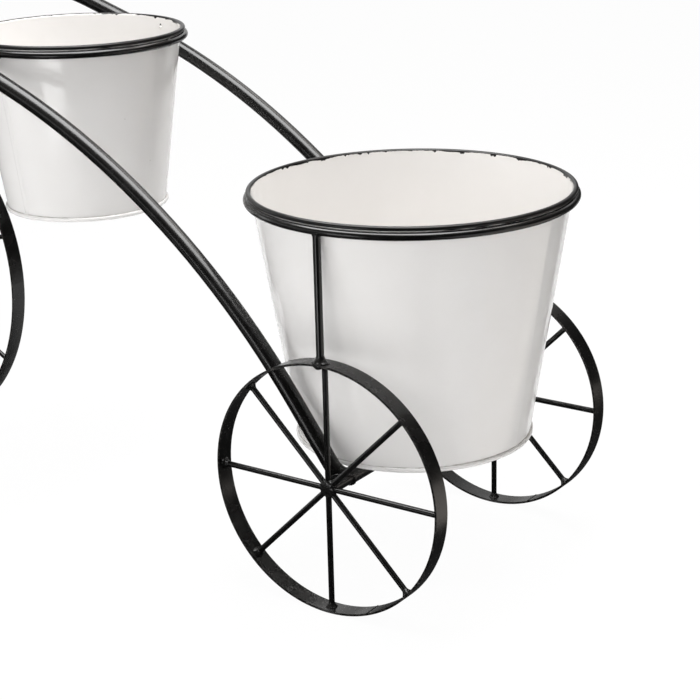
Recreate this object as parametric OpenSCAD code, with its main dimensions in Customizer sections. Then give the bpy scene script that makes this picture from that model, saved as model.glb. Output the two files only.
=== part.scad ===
// Tricycle plant stand: two sheet-metal pots hung in rod rings on a bent tube frame.
// The front wheel points to -X, the ground is z = 0 and the stand is mirrored about y = 0.
// Lengths are millimetres and angles are degrees.

/* [Frame tube] */
// Outside diameter of the frame tube
tube_d = 13.2; // [11:0.2:14]
// Wall of the frame tube
tube_wall = 1; // [0.8:0.1:1.6]
// Bend radius where a rail turns into the rear crossbar, at the centre line
axle_bend_r = 15; // [12:0.5:20]
// Slope of a rail where it leaves the rear crossbar
rail_foot_angle = 54.2; // [51:0.2:57]
// Straight run of a rail above the crossbar bend
rail_foot_len = 55; // [35:1:75]
// Radius of the long arch of a rail
rail_arch_r = 653; // [620:1:690]
// Slope of the straight front run of a rail
rail_front_angle = 18.4; // [16:0.2:21]
// Gap between a rail and the rim of its rear wheel
wheel_gap = 2.6; // [2:0.1:5]

/* [Wheels] */
// Outside radius of a rear wheel
rear_wheel_r = 102; // [95:1:110]
// Width of the flat bar in every wheel rim
band_w = 15.3; // [12:0.1:17]
// Thickness of the flat bar in every wheel rim
band_t = 1.8; // [1.2:0.1:3]
// Diameter of a spoke rod
spoke_d = 4.6; // [3:0.1:5]
// Spokes in each wheel
spoke_count = 8; // [6:1:8]
// Diameter of the stub that carries a rear wheel
rear_hub_d = 11.6; // [10:0.1:12.2]
// How far a rear stub stands out past the middle of its wheel
rear_hub_out = 2.6; // [1:0.1:5]

/* [Rings and risers] */
// Diameter of the rod in the rings and their supports
rod_d = 6.1; // [4.5:0.1:6.5]
// Air between a pot wall and its ring
ring_clear = 0.5; // [0.5:0.1:1.5]
// Air between a pot's rolled rim and the ring it hangs on
seat_clear = 0.3; // [0.2:0.05:0.5]
// How far a riser stands inside the large ring's centre line
riser_inset = 0.3; // [0:0.1:0.4]
// How far a riser stands outside the middle of its wheel
riser_offset = 2.6; // [0:0.1:4]
// Height of the small ring above the rails' centre lines beside it
small_ring_lift = 14.5; // [12:0.1:20]

/* [Large pot] */
// Place of the large pot's middle, ahead of the rear axle
large_pot_ahead = 2; // [-5:0.5:10]
// Outside radius of the wall at the rim
large_pot_r = 126.3; // [118:0.1:134]
// How much smaller the wall's radius is at the foot
large_pot_taper = 32; // [28:0.5:38]
// Height from foot to rim
large_pot_h = 204.5; // [195:0.5:225]
// Gap between the pot's foot and the rear crossbar
foot_gap = 0.4; // [0.4:0.1:5]

/* [Small pot] */
// Place of the small pot's middle, ahead of the rear axle
small_pot_ahead = 346; // [335:1:360]
// Outside radius of the wall at the rim
small_pot_r = 91.4; // [84:0.1:96]
// How much smaller the wall's radius is at the foot
small_pot_taper = 21.2; // [18:0.2:26]
// Height from foot to rim
small_pot_h = 154.8; // [140:0.2:158]

/* [Pot sheet] */
// Thickness of the pot sheet
sheet_t = 0.6; // [0.5:0.1:0.9]
// Diameter of the rolled rim
roll_d = 4.2; // [3.8:0.1:5]
// Clearance of the wire inside the rolled rim
wire_clear = 0.05; // [0.02:0.01:0.1]
// Diameter of the seam bead round the foot
bead_d = 3.8; // [3.2:0.1:5]
// How far the foot bead stands out of the wall
bead_out = 2.2; // [1.6:0.1:2.6]
// How deep the floor's edge is folded into the bead
floor_bite = 0.8; // [0.6:0.1:1.2]
// Distance from the wall in to the floor's raised panel
panel_inset = 10; // [7:0.5:20]
// Rise of the floor's panel
panel_rise = 2; // [1:0.5:4]

/* [Front wheel] */
// Distance between the axles
wheelbase = 609; // [600:1:630]
// Outside radius of the front wheel
front_wheel_r = 167; // [155:1:175]
// Turn of the front wheel's spokes, as it stands
front_wheel_turn = 16; // [0:1:44]
// Diameter of the front hub
front_hub_d = 16; // [14:0.5:20]
// Length of the front hub
front_hub_len = 34; // [30:1:40]
// Diameter of the axle bolt
axle_d = 8; // [6:0.5:9]
// Radial running clearance of the hub on its bolt and of the stem in the head
running_clear = 0.05; // [0.02:0.01:0.09]
// Radial clearance of the axle bolt in the fork tips and washers
bolt_clear = 0.2; // [0.1:0.05:0.4]
// Side play of the hub at each end
hub_play = 0.3; // [0.2:0.05:0.6]
// Thickness of a washer
washer_t = 1.5; // [1:0.1:2.5]
// Outside diameter of an axle washer
washer_d = 16; // [14:0.5:20]
// Width across flats of the axle bolt's head and nut
hex_af = 13; // [12:0.5:15]
// Height of the axle bolt's head
hex_head_h = 5.3; // [4:0.1:7]
// Height of the axle nut
hex_nut_h = 6.5; // [5:0.1:9]
// How far the axle bolt's end stands out of the nut
bolt_end = 3; // [1:0.5:6]

/* [Fork and head] */
// Lean of the steering axis, backwards from upright
rake = 12; // [9:0.5:15]
// Thickness of a fork tip
tip_t = 3; // [2:0.1:4]
// Diameter of a fork tip's round end
tip_eye_d = 20; // [18:0.5:26]
// Distance from the axle up to the end of a fork tube
tip_len = 15; // [12:0.5:22]
// Length of a fork tip's tongue inside the fork tube
tongue_len = 12; // [8:0.5:20]
// Outside diameter of the head tube
head_d = 22; // [20.5:0.1:26]
// Length of the head tube
head_len = 54; // [44:1:66]
// Depth of the head tube's seat in the bow
head_seat = 0.8; // [0.4:0.1:0.9]
// Diameter of the steering stem
stem_d = 16; // [14:0.1:17]
// Wall of the steering stem
stem_wall = 1.2; // [1:0.1:2]
// Gap between the head tube and the washer under it
head_gap = 0.3; // [0.2:0.05:0.6]
// How far the fork turns to each side
steer_limit = 35; // [20:1:40]
// Diameter of the stop screw's shank
stop_d = 4.8; // [4:0.1:6]
// How far the stop screw's end stands inside the stem
stop_end = 1.5; // [0.5:0.1:3]
// Diameter of the stop screw's head
stop_head_d = 9.5; // [8:0.1:11]
// Height of the stop screw's head
stop_head_h = 3; // [2:0.1:5]
// Air round the stop screw in its slot
stop_clear = 0.3; // [0.2:0.05:0.6]

/* [Handlebar] */
// Height of the handlebar's middle above the ground
bar_height = 597; // [585:1:640]
// Half the straight middle of the handlebar
bar_mid = 52; // [30:1:60]
// Bend radius of the handlebar, at the centre line
bar_bend_r = 55; // [40:1:70]
// How far the handlebar's ends are bent back
bar_sweep = 62; // [45:1:68]
// Upward slope of the handlebar towards its ends
bar_rise = 8; // [4:1:14]
// Straight end run of the handlebar
bar_end_len = 88; // [86:1:100]
// How much the bar's ends are drawn down, on the radius, to take the grips
bar_swage = 0.2; // [0.1:0.05:0.4]
// Length of a grip
grip_len = 84; // [60:1:88]
// Diameter of a grip
grip_d = 19; // [17:0.5:22]
// Diameter of the flange at the inner end of a grip
grip_flange_d = 26; // [23:0.5:30]
// Thickness of a grip's closed end and of its flange
grip_end_t = 3; // [2:0.1:5]

/* [Hidden] */
$fn = 96;

// Colours as the photo shows them
frame_black = [0.07, 0.07, 0.07];
enamel_white = [0.88, 0.88, 0.87];
wire_grey = [0.45, 0.45, 0.45];
grip_black = [0.14, 0.14, 0.14];
hardware_grey = [0.3, 0.3, 0.31];

// Finer facets for the long arch, and the overlap that keeps a cut clear of a face
arch_fn = 180;
eps = 0.01;

tube_r = tube_d / 2;
rod_r = rod_d / 2;
spoke_r = spoke_d / 2;
roll_r = roll_d / 2;
bead_r = bead_d / 2;
wire_d = roll_d - 2 * (sheet_t + wire_clear);

// Radius of a pot wall's outside at a depth below the rolled rim's centre
function wall_r_at(top_r, taper, h, depth) = top_r - taper * depth / (h - roll_r - bead_r);

// A ring lies under the rolled rim, and its radius clears the wall
ring_drop = rod_r + roll_r + seat_clear;
function ring_r_of(top_r, taper, h) = wall_r_at(top_r, taper, h, ring_drop) + ring_clear + rod_r;
function roll_centre_r(top_r) = top_r - sheet_t + roll_r;

// The large pot stands over the crossbar, and its ring hangs under its rim
large_foot_z = rear_wheel_r + tube_r + foot_gap;
large_ring_z = large_foot_z + large_pot_h - roll_r - ring_drop;
large_ring_r = ring_r_of(large_pot_r, large_pot_taper, large_pot_h);

// The risers stand on the rear wheels under the large ring, and the rails stand inside the wheels
riser_y = large_ring_r - riser_inset;
half_track = riser_y - riser_offset;
rail_y = half_track - band_w / 2 - wheel_gap - tube_r;

// Side view of a rail, as [x, z]: bend, straight foot, long arch and straight front
function along(point, angle, len) = point + len * [-cos(angle), sin(angle)];
foot_start = along([0, rear_wheel_r], rail_foot_angle, axle_bend_r);
arch_start = along(foot_start, rail_foot_angle, rail_foot_len);
arch_centre = arch_start - rail_arch_r * [sin(rail_foot_angle), cos(rail_foot_angle)];
arch_turn = rail_foot_angle - rail_front_angle;
arch_end = arch_centre + rail_arch_r * [sin(rail_front_angle), cos(rail_front_angle)];

// Height of a rail's centre line at a place x, on the arch or past it
function arch_z(x) = arch_centre[1] + sqrt(rail_arch_r ^ 2 - (x - arch_centre[0]) ^ 2);
function front_z(x) = arch_end[1] + (arch_end[0] - x) * tan(rail_front_angle);
function rail_z(x) = x < arch_end[0] ? front_z(x) : arch_z(x);

// The small ring stands on stubs above the rails, and its pot hangs in it
stub_foot_z = rail_z(-small_pot_ahead);
small_ring_z = stub_foot_z + small_ring_lift;
small_ring_r = ring_r_of(small_pot_r, small_pot_taper, small_pot_h);
small_foot_z = small_ring_z + ring_drop + roll_r - small_pot_h;

// Steering axis, from the front axle up; the bow across the rails ends at the head tube
front_axle_at = [-wheelbase, front_wheel_r];
steer_up = [sin(rake), cos(rake)];
steer_back = [cos(rake), -sin(rake)];
bow_gap = head_d / 2 + tube_r - head_seat;
bow_reach = ((arch_end - front_axle_at) * steer_back - bow_gap) / cos(rail_front_angle - rake);
front_run_len = bow_reach - rail_y;
bow_tip = along(arch_end, rail_front_angle, bow_reach);
bow_centre = along(arch_end, rail_front_angle, front_run_len);

// Places across the front axle, from the middle outwards
tip_in_y = front_hub_len / 2 + hub_play + washer_t;
tip_y = tip_in_y + tip_t / 2;
tip_out_y = tip_in_y + tip_t;
bolt_head_y = tip_out_y + washer_t;

// Heights along the steering axis, from the front axle
stop_s = (bow_tip - front_axle_at) * steer_up;
head_low_s = stop_s - head_len / 2;
head_washer_s = head_low_s - head_gap - washer_t;
fork_arch_s = head_washer_s - tube_r - tip_y;
fork_top_s = fork_arch_s + tip_y;
bar_s = (bar_height - front_wheel_r) / cos(rake);
bar_at = front_axle_at + bar_s * steer_up;

// The stop screw's slot lets the fork turn to its limits
stem_bore_d = stem_d + 2 * running_clear;
slot_h = stop_d + 2 * stop_clear;
slot_half_angle = steer_limit + asin(slot_h / stem_d);

// End of the handlebar's bend, in the bar's own plane
bar_end_at = [-bar_bend_r * (1 - cos(bar_sweep)), bar_mid + bar_bend_r * sin(bar_sweep), 0];
bar_end_d = tube_d - 2 * bar_swage;
tongue_w = 2 * sqrt((tube_r - tube_wall) ^ 2 - (tip_t / 2) ^ 2) - 2 * bolt_clear;

// Shift along X that puts the origin under the middle of the stand
front_end_x = -wheelbase - front_wheel_r;
large_rear_r = max(large_ring_r + rod_r, roll_centre_r(large_pot_r) + roll_r);
rear_end_x = max(rear_wheel_r, large_rear_r - large_pot_ahead);
origin_shift = -(front_end_x + rear_end_x) / 2;

// Frames that pieces are drawn in
module placed() {
    translate([origin_shift, 0, 0]) children();
}

module mirrored() {
    mirror([0, 1, 0]) children();
}

module at_front_axle() {
    placed() translate([-wheelbase, 0, front_wheel_r]) children();
}

module on_steering() {
    at_front_axle() rotate([0, rake, 0]) children();
}

module on_bar() {
    placed() translate([bar_at[0], 0, bar_at[1]]) rotate([0, 180 - bar_rise, 0]) children();
}

module at_bar_end() {
    translate(bar_end_at) rotate([-90, 0, bar_sweep]) children();
}

module at_small_pot(z) {
    placed() translate([-small_pot_ahead, 0, z]) children();
}

module at_large_pot(z) {
    placed() translate([-large_pot_ahead, 0, z]) children();
}

// Cross section of a tube, or of a solid bar where the wall is 0
module section(d, wall) {
    difference() {
        circle(d = d);
        if (wall > 0) circle(d = d - 2 * wall);
    }
}

// Straight run along +Z
module run(len, wall, d = tube_d) {
    linear_extrude(len) section(d, wall);
}

// Bend about Z, from +X towards +Y
module bend(bend_r, angle, wall) {
    rotate_extrude(angle = angle) translate([bend_r, 0]) section(tube_d, wall);
}

// Ring of rod, lying flat
module rod_ring(ring_r, d) {
    rotate_extrude() translate([ring_r, 0]) circle(d = d);
}

// Bar along Y, through the origin
module cross_bar(d, len) {
    rotate([90, 0, 0]) cylinder(d = d, h = len, center = true);
}

// Right rail's path, drawn about the arch's centre; a wall of 0 gives the whole space that it fills
module rail_path(wall) {
    translate([arch_centre[0], rail_y, arch_centre[1]]) rotate([90, 0, 0])
        rotate([0, 0, 90 - rail_foot_angle]) {
            bend(rail_arch_r, arch_turn, wall, $fn = arch_fn);
            translate([rail_arch_r, 0, 0]) rotate([90, 0, 0]) run(rail_foot_len, wall);
            translate([rail_arch_r, -rail_foot_len, axle_bend_r])
                rotate([0, 90, 180]) bend(axle_bend_r, 90, wall);
        }
}

// Front of the frame: both straight runs and the half circle that joins them
module bow_path(wall) {
    translate([bow_centre[0], 0, bow_centre[1]])
        rotate([0, 180 + rail_front_angle, 0]) rotate([0, 0, -90]) {
            bend(rail_y, 180, wall);
            for (side = [-1, 1])
                translate([side * rail_y, 0, 0]) rotate([90, 0, 0]) run(front_run_len, wall);
        }
}

module rail_right() {
    color(frame_black) placed() rail_path(tube_wall);
}

module rail_left() {
    color(frame_black) placed() mirrored() rail_path(tube_wall);
}

module rear_crossbar() {
    half_len = rail_y - axle_bend_r;
    color(frame_black) placed() translate([0, -half_len, rear_wheel_r])
        rotate([-90, 0, 0]) run(2 * half_len, tube_wall);
}

// Front bow, seated against the head tube
module front_bow() {
    color(frame_black) difference() {
        placed() bow_path(tube_wall);
        on_steering() translate([0, 0, head_low_s]) cylinder(d = head_d, h = head_len);
    }
}

// Head tube, with a slot across its front for the stop screw
module head_tube() {
    color(frame_black) on_steering() difference() {
        translate([0, 0, head_low_s]) cylinder(d = head_d, h = head_len);
        translate([0, 0, head_low_s - eps]) cylinder(d = stem_bore_d, h = head_len + 2 * eps);
        translate([0, 0, stop_s - slot_h / 2]) rotate([0, 0, 180 - slot_half_angle])
            rotate_extrude(angle = 2 * slot_half_angle)
                translate([stem_d / 4, 0]) square([head_d, slot_h]);
    }
}

// Flat bar bent into a rim about the Y axis
module rim(wheel_r) {
    rotate([90, 0, 0]) rotate_extrude(angle = 360)
        translate([wheel_r - band_t, -band_w / 2]) square([band_t, band_w]);
}

// Spokes about the Y axis, from the hub to the rim's inner side
module spokes(wheel_r, hub_d, turn) {
    reach = sqrt((wheel_r - band_t) ^ 2 - spoke_r ^ 2);
    start = hub_d / 4;
    difference() {
        for (i = [0:spoke_count - 1])
            rotate([0, 90 - turn - i * 360 / spoke_count, 0])
                translate([0, 0, start]) cylinder(r = spoke_r, h = reach - start);
        cross_bar(hub_d, band_w);
    }
}

module at_rear_wheel() {
    placed() translate([0, half_track, rear_wheel_r]) children();
}

module rear_rim_right() {
    color(frame_black) at_rear_wheel() rim(rear_wheel_r);
}

module rear_rim_left() {
    color(frame_black) mirrored() at_rear_wheel() rim(rear_wheel_r);
}

module rear_spokes_right() {
    color(frame_black) at_rear_wheel() spokes(rear_wheel_r, rear_hub_d, 0);
}

module rear_spokes_left() {
    color(frame_black) mirrored() at_rear_wheel() spokes(rear_wheel_r, rear_hub_d, 0);
}

// Stub from the outside of a rail's bend through the middle of its wheel
module rear_stub() {
    inner_y = rail_y - axle_bend_r / 2;
    placed() difference() {
        translate([0, inner_y, rear_wheel_r])
            rotate([-90, 0, 0]) cylinder(d = rear_hub_d, h = half_track + rear_hub_out - inner_y);
        rail_path(0);
    }
}

module rear_hub_right() {
    color(frame_black) rear_stub();
}

module rear_hub_left() {
    color(frame_black) mirrored() rear_stub();
}

// Upright rod from the top of a rear wheel to the underside of the large ring
module riser() {
    low_z = 2 * rear_wheel_r - rod_d;
    difference() {
        at_large_pot(low_z) translate([0, riser_y, 0])
            cylinder(d = rod_d, h = large_ring_z - rod_r / 2 - low_z);
        at_large_pot(large_ring_z) rod_ring(large_ring_r, rod_d);
        at_rear_wheel() cross_bar(2 * rear_wheel_r, 2 * band_w);
    }
}

module riser_right() {
    color(frame_black) riser();
}

module riser_left() {
    color(frame_black) mirrored() riser();
}

module large_ring() {
    color(frame_black) at_large_pot(large_ring_z) rod_ring(large_ring_r, rod_d);
}

module small_ring() {
    color(frame_black) at_small_pot(small_ring_z) rod_ring(small_ring_r, rod_d);
}

// Short rod that slopes from the small ring down and out to a rail
module ring_stub() {
    out = rail_y - small_ring_r;
    slope = atan2(out, -small_ring_lift);
    start = rod_r * 0.6;
    difference() {
        at_small_pot(small_ring_z) translate([0, small_ring_r, 0]) rotate([-slope, 0, 0])
            translate([0, 0, start]) cylinder(d = rod_d, h = norm([out, small_ring_lift]) - start);
        at_small_pot(small_ring_z) rod_ring(small_ring_r, rod_d);
        placed() rail_path(0);
        placed() bow_path(0);
    }
}

module ring_stub_right() {
    color(frame_black) ring_stub();
}

module ring_stub_left() {
    color(frame_black) mirrored() ring_stub();
}

// Pot wall: a cone of sheet, rolled outwards at the rim, with a seam bead that holds the floor
module pot_wall(top_r, taper, h) {
    base_r = top_r - taper;
    floor_edge_r = base_r - sheet_t + floor_bite;
    rotate_extrude() difference() {
        union() {
            polygon([
                [base_r - sheet_t, bead_r], [base_r, bead_r],
                [top_r, h - roll_r], [top_r - sheet_t, h - roll_r]
            ]);
            translate([roll_centre_r(top_r), h - roll_r]) circle(r = roll_r);
            translate([base_r + bead_out - bead_r, bead_r]) circle(r = bead_r);
        }
        translate([roll_centre_r(top_r), h - roll_r]) circle(r = roll_r - sheet_t);
        translate([floor_edge_r - bead_d, bead_r - sheet_t / 2]) square([bead_d, sheet_t]);
    }
}

// Pot floor: a disc with a raised panel, folded into the bead round its edge
module pot_floor(top_r, taper) {
    base_r = top_r - taper;
    edge_r = base_r - sheet_t + floor_bite;
    panel_r = base_r - panel_inset;
    mitre = sheet_t * tan(22.5);
    low = bead_r - sheet_t / 2;
    rotate_extrude() polygon([
        [0, low + panel_rise], [panel_r, low + panel_rise], [panel_r + panel_rise, low],
        [edge_r, low], [edge_r, low + sheet_t], [panel_r + panel_rise + mitre, low + sheet_t],
        [panel_r + mitre, low + panel_rise + sheet_t], [0, low + panel_rise + sheet_t]
    ]);
}

module large_pot_wall() {
    color(enamel_white) at_large_pot(large_foot_z)
        pot_wall(large_pot_r, large_pot_taper, large_pot_h);
}

module large_pot_floor() {
    color(enamel_white) at_large_pot(large_foot_z) pot_floor(large_pot_r, large_pot_taper);
}

module large_pot_rim_wire() {
    color(wire_grey) at_large_pot(large_ring_z + ring_drop)
        rod_ring(roll_centre_r(large_pot_r), wire_d);
}

module small_pot_wall() {
    color(enamel_white) at_small_pot(small_foot_z)
        pot_wall(small_pot_r, small_pot_taper, small_pot_h);
}

module small_pot_floor() {
    color(enamel_white) at_small_pot(small_foot_z) pot_floor(small_pot_r, small_pot_taper);
}

module small_pot_rim_wire() {
    color(wire_grey) at_small_pot(small_ring_z + ring_drop)
        rod_ring(roll_centre_r(small_pot_r), wire_d);
}

module front_rim() {
    color(frame_black) at_front_axle() rim(front_wheel_r);
}

module front_spokes() {
    color(frame_black) at_front_axle() spokes(front_wheel_r, front_hub_d, front_wheel_turn);
}

// Hub that turns on the axle bolt
module front_hub() {
    color(frame_black) at_front_axle() difference() {
        cross_bar(front_hub_d, front_hub_len);
        cross_bar(axle_d + 2 * running_clear, front_hub_len + 2 * eps);
    }
}

// Fork's path, up one leg, over the wheel and down the other; a wall of 0 gives its whole space
module fork_path(wall) {
    for (side = [-1, 1])
        translate([0, side * tip_y, tip_len]) run(fork_arch_s - tip_len, wall);
    translate([0, 0, fork_arch_s]) rotate([90, 0, 90]) bend(tip_y, 180, wall);
}

module fork_tube() {
    color(frame_black) on_steering() fork_path(tube_wall);
}

// Flat tip with the axle's hole, and a tongue up into the fork tube
module fork_tip() {
    on_steering() translate([0, tip_y, 0]) rotate([90, 0, 0])
        linear_extrude(tip_t, center = true) difference() {
            union() {
                circle(d = tip_eye_d);
                translate([-tube_r, 0]) square([tube_d, tip_len]);
                translate([-tongue_w / 2, 0]) square([tongue_w, tip_len + tongue_len]);
            }
            circle(d = axle_d + 2 * bolt_clear);
        }
}

module fork_tip_right() {
    color(frame_black) fork_tip();
}

module fork_tip_left() {
    color(frame_black) mirrored() fork_tip();
}

// Stem from the fork's arch up through the head tube to the handlebar
module steering_stem() {
    color(frame_black) on_steering() difference() {
        translate([0, 0, fork_top_s]) cylinder(d = stem_d, h = bar_s - fork_top_s);
        translate([0, 0, fork_top_s - eps])
            cylinder(d = stem_d - 2 * stem_wall, h = bar_s - fork_top_s + 2 * eps);
        fork_path(0);
        translate([0, 0, bar_s]) cross_bar(tube_d, 2 * stem_d);
        translate([0, 0, stop_s]) rotate([0, -90, 0]) cylinder(d = stop_d, h = stem_d);
    }
}

// Washer pressed on the stem, which carries the head tube
module head_washer() {
    color(hardware_grey) on_steering() translate([0, 0, head_washer_s]) difference() {
        cylinder(d = head_d, h = washer_t);
        translate([0, 0, -eps]) cylinder(d = stem_d, h = washer_t + 2 * eps);
    }
}

// Screw in the stem that runs in the head tube's slot
module stop_screw() {
    inner = stem_d / 2 - stem_wall - stop_end;
    outer = head_d / 2 + stop_clear;
    color(hardware_grey) on_steering() translate([0, 0, stop_s]) rotate([0, -90, 0]) {
        translate([0, 0, inner]) cylinder(d = stop_d, h = outer - inner);
        translate([0, 0, outer]) cylinder(d = stop_head_d, h = stop_head_h);
    }
}

module handlebar() {
    color(frame_black) on_bar() {
        translate([0, -bar_mid, 0]) rotate([-90, 0, 0]) run(2 * bar_mid, tube_wall);
        for (side = [0, 1]) mirror([0, side, 0]) {
            translate([-bar_bend_r, bar_mid, 0]) bend(bar_bend_r, bar_sweep, tube_wall);
            at_bar_end() run(bar_end_len, tube_wall, bar_end_d);
        }
    }
}

// Grip over the end of the bar, with a flange inside and a closed end outside
module grip() {
    at_bar_end() translate([0, 0, bar_end_len + grip_end_t - grip_len]) difference() {
        union() {
            cylinder(d = grip_d, h = grip_len);
            cylinder(d = grip_flange_d, h = grip_end_t);
        }
        translate([0, 0, -eps]) cylinder(d = bar_end_d, h = grip_len - grip_end_t + eps);
    }
}

module grip_right() {
    color(grip_black) on_bar() grip();
}

module grip_left() {
    color(grip_black) on_bar() mirrored() grip();
}

// Hexagonal prism along +Y, from a place on the axle
module hex_at(y, h) {
    translate([0, y, 0]) rotate([-90, 0, 0]) cylinder(d = hex_af / cos(30), h = h, $fn = 6);
}

module axle_bolt() {
    shank_end_y = bolt_head_y + hex_nut_h + bolt_end;
    color(hardware_grey) at_front_axle() {
        hex_at(-bolt_head_y - hex_head_h, hex_head_h);
        translate([0, -bolt_head_y, 0]) rotate([-90, 0, 0])
            cylinder(d = axle_d, h = bolt_head_y + shank_end_y);
    }
}

module axle_nut() {
    color(hardware_grey) at_front_axle() difference() {
        hex_at(bolt_head_y, hex_nut_h);
        cross_bar(axle_d, 4 * bolt_head_y);
    }
}

// A washer on each side of each fork tip
module axle_washers() {
    color(hardware_grey) at_front_axle() difference() {
        for (side = [0, 1], y = [tip_in_y - washer_t, tip_out_y]) mirror([0, side, 0])
            translate([0, y, 0]) rotate([-90, 0, 0]) cylinder(d = washer_d, h = washer_t);
        cross_bar(axle_d + 2 * bolt_clear, 2 * bolt_head_y + 2 * eps);
    }
}

rail_left();
rail_right();
rear_crossbar();
front_bow();
head_tube();
rear_rim_left();
rear_rim_right();
rear_spokes_left();
rear_spokes_right();
rear_hub_left();
rear_hub_right();
riser_left();
riser_right();
large_ring();
small_ring();
ring_stub_left();
ring_stub_right();
large_pot_wall();
large_pot_floor();
large_pot_rim_wire();
small_pot_wall();
small_pot_floor();
small_pot_rim_wire();
front_rim();
front_spokes();
front_hub();
fork_tube();
fork_tip_left();
fork_tip_right();
steering_stem();
head_washer();
stop_screw();
handlebar();
grip_left();
grip_right();
axle_bolt();
axle_nut();
axle_washers();
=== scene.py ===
"""Looks of a tricycle plant stand: two enamelled pots in rod rings on a bent tube frame.

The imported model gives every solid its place. This file adds the welds, seams, threads and grips,
gives each piece its finish, and sets up the floor, the lamps and the camera. Lengths are metres in
the model's frame: -X is the front, +Z is up and y = 0 is the mirror plane.
"""

from __future__ import annotations

import logging
import math
from collections.abc import Callable, Sequence
from dataclasses import dataclass, field
from enum import Enum

import bmesh
import bpy
from mathutils import Matrix, Vector, noise

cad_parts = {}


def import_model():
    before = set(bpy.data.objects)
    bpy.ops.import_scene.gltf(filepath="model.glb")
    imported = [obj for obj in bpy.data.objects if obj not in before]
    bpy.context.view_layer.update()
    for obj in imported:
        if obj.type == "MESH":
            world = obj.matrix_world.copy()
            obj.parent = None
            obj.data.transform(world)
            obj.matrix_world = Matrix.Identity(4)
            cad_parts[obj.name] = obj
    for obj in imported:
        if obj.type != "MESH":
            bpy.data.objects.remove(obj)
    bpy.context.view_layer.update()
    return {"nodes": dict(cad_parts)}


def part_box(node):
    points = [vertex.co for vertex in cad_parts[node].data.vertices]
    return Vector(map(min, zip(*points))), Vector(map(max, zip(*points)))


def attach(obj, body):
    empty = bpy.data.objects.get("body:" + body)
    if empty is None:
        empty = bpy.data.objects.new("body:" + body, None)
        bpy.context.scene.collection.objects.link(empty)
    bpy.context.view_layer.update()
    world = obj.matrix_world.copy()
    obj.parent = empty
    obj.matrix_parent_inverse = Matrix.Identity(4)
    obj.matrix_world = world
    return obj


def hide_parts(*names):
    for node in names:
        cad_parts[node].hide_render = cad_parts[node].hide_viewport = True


LOG = logging.getLogger("plant_stand")
MM = 0.001
QUARTER = math.pi / 2
ALONG = Vector((1.0, 0.0, 0.0))
ACROSS = Vector((0.0, 1.0, 0.0))
UP = Vector((0.0, 0.0, 1.0))
EVEN = (1.0, 1.0, 1.0)
LOOP_STEPS = 96
FILLET_STEPS = 28
TUBE_R = 6.6 * MM
RAIL_Y = 109.23 * MM
FRONT_AXLE = Vector((-286.015, 0.0, 167.0)) * MM

Colour = tuple[float, float, float]
Place = tuple[float, float, float]
Pair = tuple[float, float]
Shape = Callable[[float, float, float], float]


class Body(Enum):
    """Groups of pieces that move together."""

    FRAME = "frame"
    FORK = "fork"
    FRONT_WHEEL = "front_wheel"
    LARGE_POT = "large_pot"
    SMALL_POT = "small_pot"


class Slot(Enum):
    """Material slots of the record."""

    PAINT = "frame_paint"
    ENAMEL = "pot_enamel"
    WIRE = "rim_wire"
    RUBBER = "grip_rubber"
    HARDWARE = "hardware"


class Side(Enum):
    """Sides of the mirror plane, with the sign of their y."""

    LEFT = -1
    RIGHT = 1

    @property
    def word(self) -> str:
        """Name of the side as the nodes use it."""
        return self.name.lower()


class Effect(Enum):
    """Shader effects that more than one material uses."""

    GRAIN = "surface_grain"
    DUST = "dust_film"
    SPECKS = "fine_specks"
    ZONES = "pot_zones"
    EDGES = "rubbed_edges"


def mm(x: float, y: float, z: float) -> Vector:
    """Point or direction from millimetres."""
    return Vector((x, y, z)) * MM


def in_mm(*pairs: Pair) -> list[Pair]:
    """Pairs of lengths from pairs of millimetres."""
    return [(first * MM, second * MM) for first, second in pairs]


def polar(angle: float, radius: float = 1.0, height: float = 0.0) -> Vector:
    """Point at an angle round the Z axis."""
    return Vector((radius * math.cos(angle), radius * math.sin(angle), height))


def facing(at: Vector, way: Vector) -> Matrix:
    """Frame at a point, with Z along a direction."""
    return Matrix.Translation(at) @ way.to_track_quat("Z", "Y").to_matrix().to_4x4()


def box_of(name: str) -> tuple[Vector, Vector]:
    """Middle and half sizes of a node's box."""
    low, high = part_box(name)
    return (low + high) / 2, (high - low) / 2


def show(
    name: str, points: Sequence[Place], faces: Sequence[Sequence[int]], finish: bpy.types.Material
) -> bpy.types.Object:
    """Makes an object of a mesh and links it to the scene.

    Args:
        name: Name of both.
        points: Vertices of the mesh.
        faces: Faces of the mesh.
        finish: Its one material.

    Returns:
        The object.
    """
    mesh = bpy.data.meshes.new(name)
    mesh.from_pydata(points, [], faces)
    mesh.materials.append(finish)
    piece = bpy.data.objects.new(name, mesh)
    bpy.context.scene.collection.objects.link(piece)
    return piece


# Shader nodes


@dataclass(frozen=True)
class Value:
    """A shader value. Sums, differences and products of it become Math nodes."""

    sketch: NodeSketch
    socket: bpy.types.NodeSocket

    def __add__(self, other: Value | float) -> Value:
        """Sum with another value."""
        return self.sketch.maths("ADD", self, other)

    def __sub__(self, other: Value | float) -> Value:
        """Difference to another value."""
        return self.sketch.maths("SUBTRACT", self, other)

    def __rsub__(self, other: float) -> Value:
        """What is left of a number without this value."""
        return self.sketch.maths("SUBTRACT", other, self)

    def __mul__(self, other: Value | float) -> Value:
        """Product with another value."""
        return self.sketch.maths("MULTIPLY", self, other)

    def __abs__(self) -> Value:
        """Value without its sign."""
        return self.sketch.maths("ABSOLUTE", self)


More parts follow.
